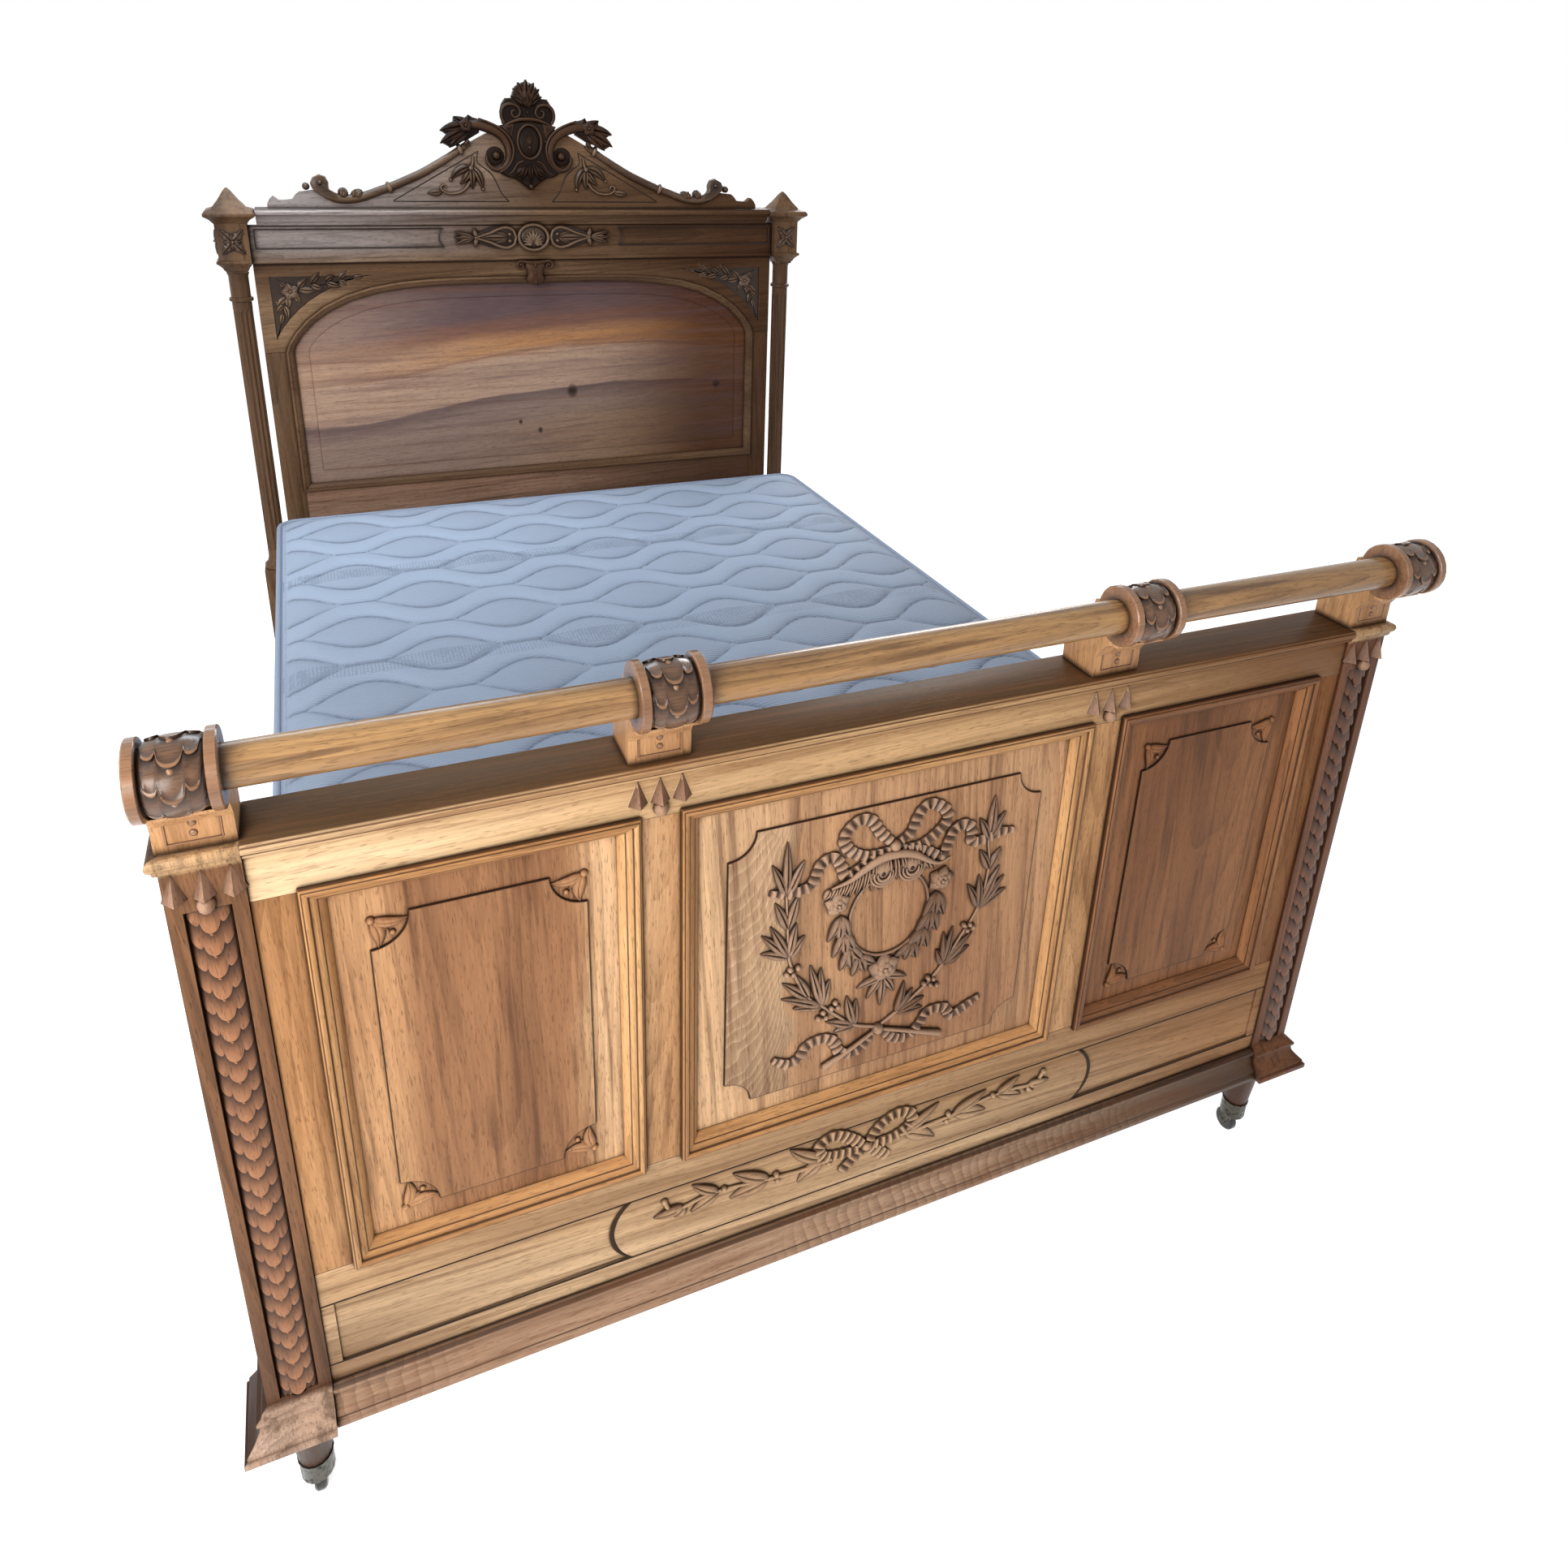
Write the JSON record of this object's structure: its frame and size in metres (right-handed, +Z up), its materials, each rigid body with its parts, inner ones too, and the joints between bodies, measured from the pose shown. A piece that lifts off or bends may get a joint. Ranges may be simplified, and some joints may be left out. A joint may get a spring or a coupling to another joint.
{
  "type": "carved wooden bed",
  "caption": "Double bed in carved walnut: panelled footboard with a roll on brackets, arched headboard with columns and crest, slatted base, quilted mattress, feet on brass casters.",
  "frame": {"origin": "on the floor under the middle of the bed's outer box", "axes": "+Z up, +Y from the footboard to the headboard, +X to the right for someone at the foot who looks at the headboard"},
  "size_m": [1.55, 2.238, 1.6435],
  "materials": {
    "walnut_golden": "satin",
    "walnut_red": "satin",
    "walnut_dark": "satin",
    "walnut_figured": "satin",
    "pine": "matte",
    "ticking": "matte",
    "brass": "satin",
    "black_wheel": "gloss"
  },
  "bodies": {
    "bed": {"foot_post_left": "walnut_dark", "foot_post_right": "walnut_dark", "foot_top_rail": "walnut_golden", "foot_bottom_rail": "walnut_golden", "foot_base_moulding": "walnut_dark", "foot_stile_left": "walnut_golden", "foot_stile_right": "walnut_golden", "foot_muntin_left": "walnut_golden", "foot_muntin_right": "walnut_golden", "foot_panel_left": "walnut_red", "foot_panel_centre": "walnut_red", "foot_panel_right": "walnut_red", "foot_panel_moulding_left": "walnut_dark", "foot_panel_moulding_centre": "walnut_dark", "foot_panel_moulding_right": "walnut_dark", "roll_rail": "walnut_golden", "roll_collar_outer_left": "walnut_dark", "roll_collar_outer_right": "walnut_dark", "roll_collar_inner_left": "walnut_dark", "roll_collar_inner_right": "walnut_dark", "roll_bracket_outer_left": "walnut_dark", "roll_bracket_outer_right": "walnut_dark", "roll_bracket_inner_left": "walnut_dark", "roll_bracket_inner_right": "walnut_dark", "head_leg_left": "walnut_dark", "head_leg_right": "walnut_dark", "head_column_left": "walnut_golden", "head_column_right": "walnut_golden", "head_capital_left": "walnut_dark", "head_capital_right": "walnut_dark", "head_stile_left": "walnut_golden", "head_stile_right": "walnut_golden", "head_bottom_rail": "walnut_golden", "head_arch_rail": "walnut_golden", "head_panel": "walnut_figured", "head_panel_moulding": "walnut_dark", "head_frieze": "walnut_golden", "head_cornice": "walnut_golden", "frieze_palmette": "walnut_dark", "arch_keystone": "walnut_dark", "pediment_board": "walnut_golden", "pediment_scroll_left": "walnut_dark", "pediment_scroll_right": "walnut_dark", "crest_cartouche": "walnut_dark", "side_rail_left": "walnut_golden", "side_rail_right": "walnut_golden", "slat_frame": "pine", "mattress": "ticking", "caster_cup_foot_left": "brass", "caster_cup_foot_right": "brass", "caster_cup_head_left": "brass", "caster_cup_head_right": "brass"},
    "swivel_foot_left": {"caster_fork_foot_left": "brass"},
    "swivel_foot_right": {"caster_fork_foot_right": "brass"},
    "swivel_head_left": {"caster_fork_head_left": "brass"},
    "swivel_head_right": {"caster_fork_head_right": "brass"},
    "wheel_foot_left": {"caster_wheel_foot_left": "black_wheel"},
    "wheel_foot_right": {"caster_wheel_foot_right": "black_wheel"},
    "wheel_head_left": {"caster_wheel_head_left": "black_wheel"},
    "wheel_head_right": {"caster_wheel_head_right": "black_wheel"}
  },
  "joints": [
    {"name": "foot_left_swivel", "type": "hinge", "parent": "bed", "child": "swivel_foot_left", "pos_m": [-0.7135, -1.0233, 0.0402], "axis": [0, 0, 1], "continuous": true},
    {"name": "foot_right_swivel", "type": "hinge", "parent": "bed", "child": "swivel_foot_right", "pos_m": [0.7135, -1.0233, 0.0402], "axis": [0, 0, 1], "continuous": true},
    {"name": "head_left_swivel", "type": "hinge", "parent": "bed", "child": "swivel_head_left", "pos_m": [-0.7185, 1.0627, 0.0402], "axis": [0, 0, 1], "continuous": true},
    {"name": "head_right_swivel", "type": "hinge", "parent": "bed", "child": "swivel_head_right", "pos_m": [0.7185, 1.0627, 0.0402], "axis": [0, 0, 1], "continuous": true},
    {"name": "foot_left_roll", "type": "hinge", "parent": "swivel_foot_left", "child": "wheel_foot_left", "pos_m": [-0.7135, -1.0153, 0.018], "axis": [1, 0, 0], "continuous": true},
    {"name": "foot_right_roll", "type": "hinge", "parent": "swivel_foot_right", "child": "wheel_foot_right", "pos_m": [0.7135, -1.0153, 0.018], "axis": [1, 0, 0], "continuous": true},
    {"name": "head_left_roll", "type": "hinge", "parent": "swivel_head_left", "child": "wheel_head_left", "pos_m": [-0.7185, 1.0707, 0.018], "axis": [1, 0, 0], "continuous": true},
    {"name": "head_right_roll", "type": "hinge", "parent": "swivel_head_right", "child": "wheel_head_right", "pos_m": [0.7185, 1.0707, 0.018], "axis": [1, 0, 0], "continuous": true}
  ]
}
